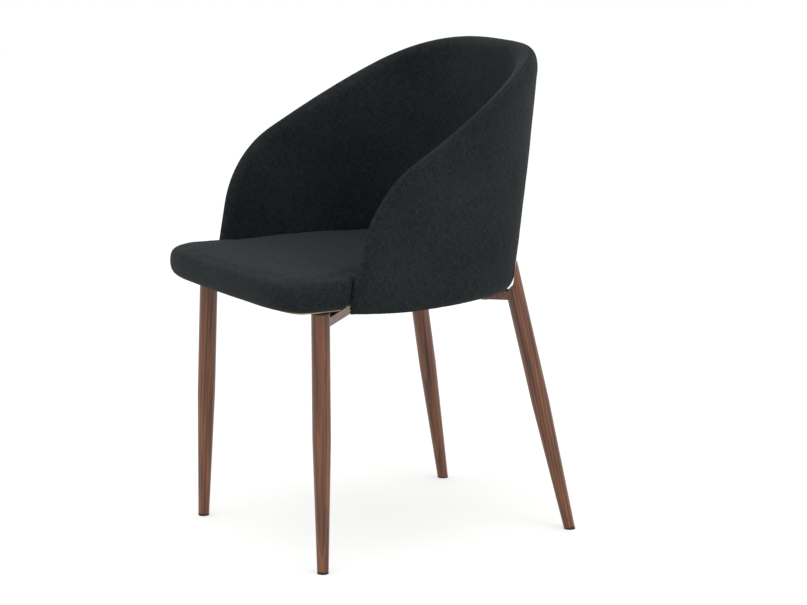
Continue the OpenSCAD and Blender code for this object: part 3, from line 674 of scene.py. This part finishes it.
seatPad = copyOf("seat_cushion", "seatPad")
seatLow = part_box("seat_cushion")[0]
applyModifier(seatPad, "REMESH", mode="VOXEL", voxel_size=seat["voxel"], adaptivity=0.0)
applyModifier(seatPad, "SMOOTH", factor=0.5, iterations=seat["smooth"])
applyModifier(seatPad, "DISPLACE", strength=seat["start"], mid_level=0.0)
plump(seatPad, seat, seatLow.z)
applyModifier(seatPad, "SMOOTH", factor=0.5, iterations=seat["settle"])
for vertex in seatPad.data.vertices:
    vertex.co += vertex.normal * softened(vertex.co, seat["softLength"], seat["soft"])
applyModifier(seatPad, "SUBSURF", levels=1, render_levels=1)
boxThreads(seatPad.data)
bpy.ops.object.shade_smooth_by_angle(angle=math.radians(seat["smoothAngle"]))
seatPad.select_set(False)
setMaterial(seatPad, upholstery)
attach(seatPad, "root")
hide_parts("seat_cushion")
print("seat made,", len(seatPad.data.polygons), "faces")

# the lining under the seat
liningSheet = {
    "grid": 0.012, "sag": 0.0012, "sagLength": 0.05, "thick": 0.0004, "fade": 0.03,
    "flatness": 0.9, "reach": 0.0003, "dissolve": 2.0, "smoothAngle": 40.0,
}
under = copyOf("dust_cloth", "seatLining")
clothLow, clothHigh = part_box("dust_cloth")
bpy.ops.object.mode_set(mode="EDIT")
bpy.ops.mesh.select_mode(type="FACE")
bpy.ops.mesh.select_all(action="DESELECT")
bpy.ops.object.mode_set(mode="OBJECT")
for face in under.data.polygons:         # all but the underside goes, and its thickness comes back below
    face.select = not (abs(face.normal.z) > liningSheet["flatness"]
                       and abs(face.center.z - clothLow.z) < liningSheet["reach"])
bpy.ops.object.mode_set(mode="EDIT")
bpy.ops.mesh.delete(type="FACE")
bpy.ops.mesh.select_all(action="SELECT")
bpy.ops.mesh.dissolve_limited(angle_limit=math.radians(liningSheet["dissolve"]))
for axis in (0, 1):
    steps = int((clothHigh[axis] - clothLow[axis]) / liningSheet["grid"])
    for i in range(1, steps):
        at = [0.0, 0.0, 0.0]
        at[axis] = mixed(clothLow[axis], clothHigh[axis], i / steps)
        facing = [0.0, 0.0, 0.0]
        facing[axis] = 1.0
        bpy.ops.mesh.select_all(action="SELECT")
        bpy.ops.mesh.bisect(plane_co=at, plane_no=facing)
bpy.ops.object.mode_set(mode="OBJECT")
edgeUse = {}
for face in under.data.polygons:
    for key in face.edge_keys:
        edgeUse[key] = edgeUse.get(key, 0) + 1
rim = np.array([under.data.vertices[i].co for key, used in edgeUse.items() if used == 1 for i in key])
for vertex in under.data.vertices:
    near = float(np.min(np.linalg.norm(rim - np.array(vertex.co), axis=1)))
    hang = (0.5 + noise.noise(vertex.co / liningSheet["sagLength"])) * liningSheet["sag"]
    vertex.co.z -= eased(near / liningSheet["fade"]) * max(hang, 0)
applyModifier(under, "SOLIDIFY", thickness=liningSheet["thick"], offset=0.0)
bpy.ops.object.shade_smooth_by_angle(angle=math.radians(liningSheet["smoothAngle"]))
under.select_set(False)
setMaterial(under, lining)
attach(under, "root")
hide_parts("dust_cloth")

# floor, light and camera
stageSpec = {
    "floorSize": 14.0, "floorColour": "#e9e9e8", "glow": 0.42,
    "worldLight": 0.75, "lampTarget": (0, 0, 0.45),
    "camera": (3.7689, -2.2738, 1.2537), "target": (0.02019, 0.05538, 0.37197),
    "lens": 123.23, "sensor": 36.0, "clipEnd": 50.0,
}
bpy.ops.mesh.primitive_plane_add(size=stageSpec["floorSize"], location=(0, 0, 0))
floor = bpy.context.object
floor.name = "floor"
paper, tree = newMaterial("paleFloorPaper")
rays = addNode(tree, "ShaderNodeLightPath")
seen = addNode(tree, "ShaderNodeMath", {"operation": "MAXIMUM"},
               {0: rays.outputs["Is Camera Ray"], 1: rays.outputs["Is Glossy Ray"]})
glow = addNode(tree, "ShaderNodeMath", {"operation": "MULTIPLY"},
               {0: seen.outputs[0], 1: stageSpec["glow"]})
matt = addNode(tree, "ShaderNodeBsdfDiffuse", inputs={"Color": toLinear(stageSpec["floorColour"])})
shine = addNode(tree, "ShaderNodeEmission", inputs={"Color": (1, 1, 1, 1), "Strength": glow.outputs[0]})
both = addNode(tree, "ShaderNodeAddShader", inputs={0: matt.outputs[0], 1: shine.outputs[0]})
finishMaterial(tree, both)
setMaterial(floor, paper)
floor.select_set(False)

world = bpy.data.worlds.new("studio")
bpy.context.scene.world = world
world.use_nodes = True
world.node_tree.nodes.clear()
tree = world.node_tree
rays = addNode(tree, "ShaderNodeLightPath")
seen = addNode(tree, "ShaderNodeMath", {"operation": "MAXIMUM"},
               {0: rays.outputs["Is Camera Ray"], 1: rays.outputs["Is Glossy Ray"]})
power = addNode(tree, "ShaderNodeMapRange",
                inputs={"Value": seen.outputs[0], "To Min": stageSpec["worldLight"], "To Max": 1.0})
sky = addNode(tree, "ShaderNodeBackground", inputs={"Color": (1, 1, 1, 1), "Strength": power.outputs[0]})
addNode(tree, "ShaderNodeOutputWorld", inputs={"Surface": sky.outputs[0]})

lampSpec = {
    "above": {"at": (0.4, -0.9, 2.9), "size": 2.2, "power": 16.0},
    "side": {"at": (2.6, 0.9, 1.6), "size": 1.6, "power": 14.0},
}
for name, spec in lampSpec.items():
    lamp = bpy.data.lights.new(name, "AREA")
    lamp.shape = "SQUARE"
    lamp.size = spec["size"]
    lamp.energy = spec["power"]
    lampObject = bpy.data.objects.new(name, lamp)
    bpy.context.scene.collection.objects.link(lampObject)
    lampObject.location = spec["at"]
    aim = Vector(stageSpec["lampTarget"]) - Vector(spec["at"])
    lampObject.rotation_euler = aim.to_track_quat("-Z", "Y").to_euler()

camera = bpy.data.objects.new("camera", bpy.data.cameras.new("camera"))
bpy.context.scene.collection.objects.link(camera)
camera.data.lens = stageSpec["lens"]
camera.data.sensor_width = stageSpec["sensor"]
camera.data.clip_end = stageSpec["clipEnd"]
camera.location = stageSpec["camera"]
aim = Vector(stageSpec["target"]) - camera.location
camera.rotation_euler = aim.to_track_quat("-Z", "Y").to_euler()
bpy.context.scene.camera = camera
bpy.context.scene.view_settings.view_transform = "Standard"
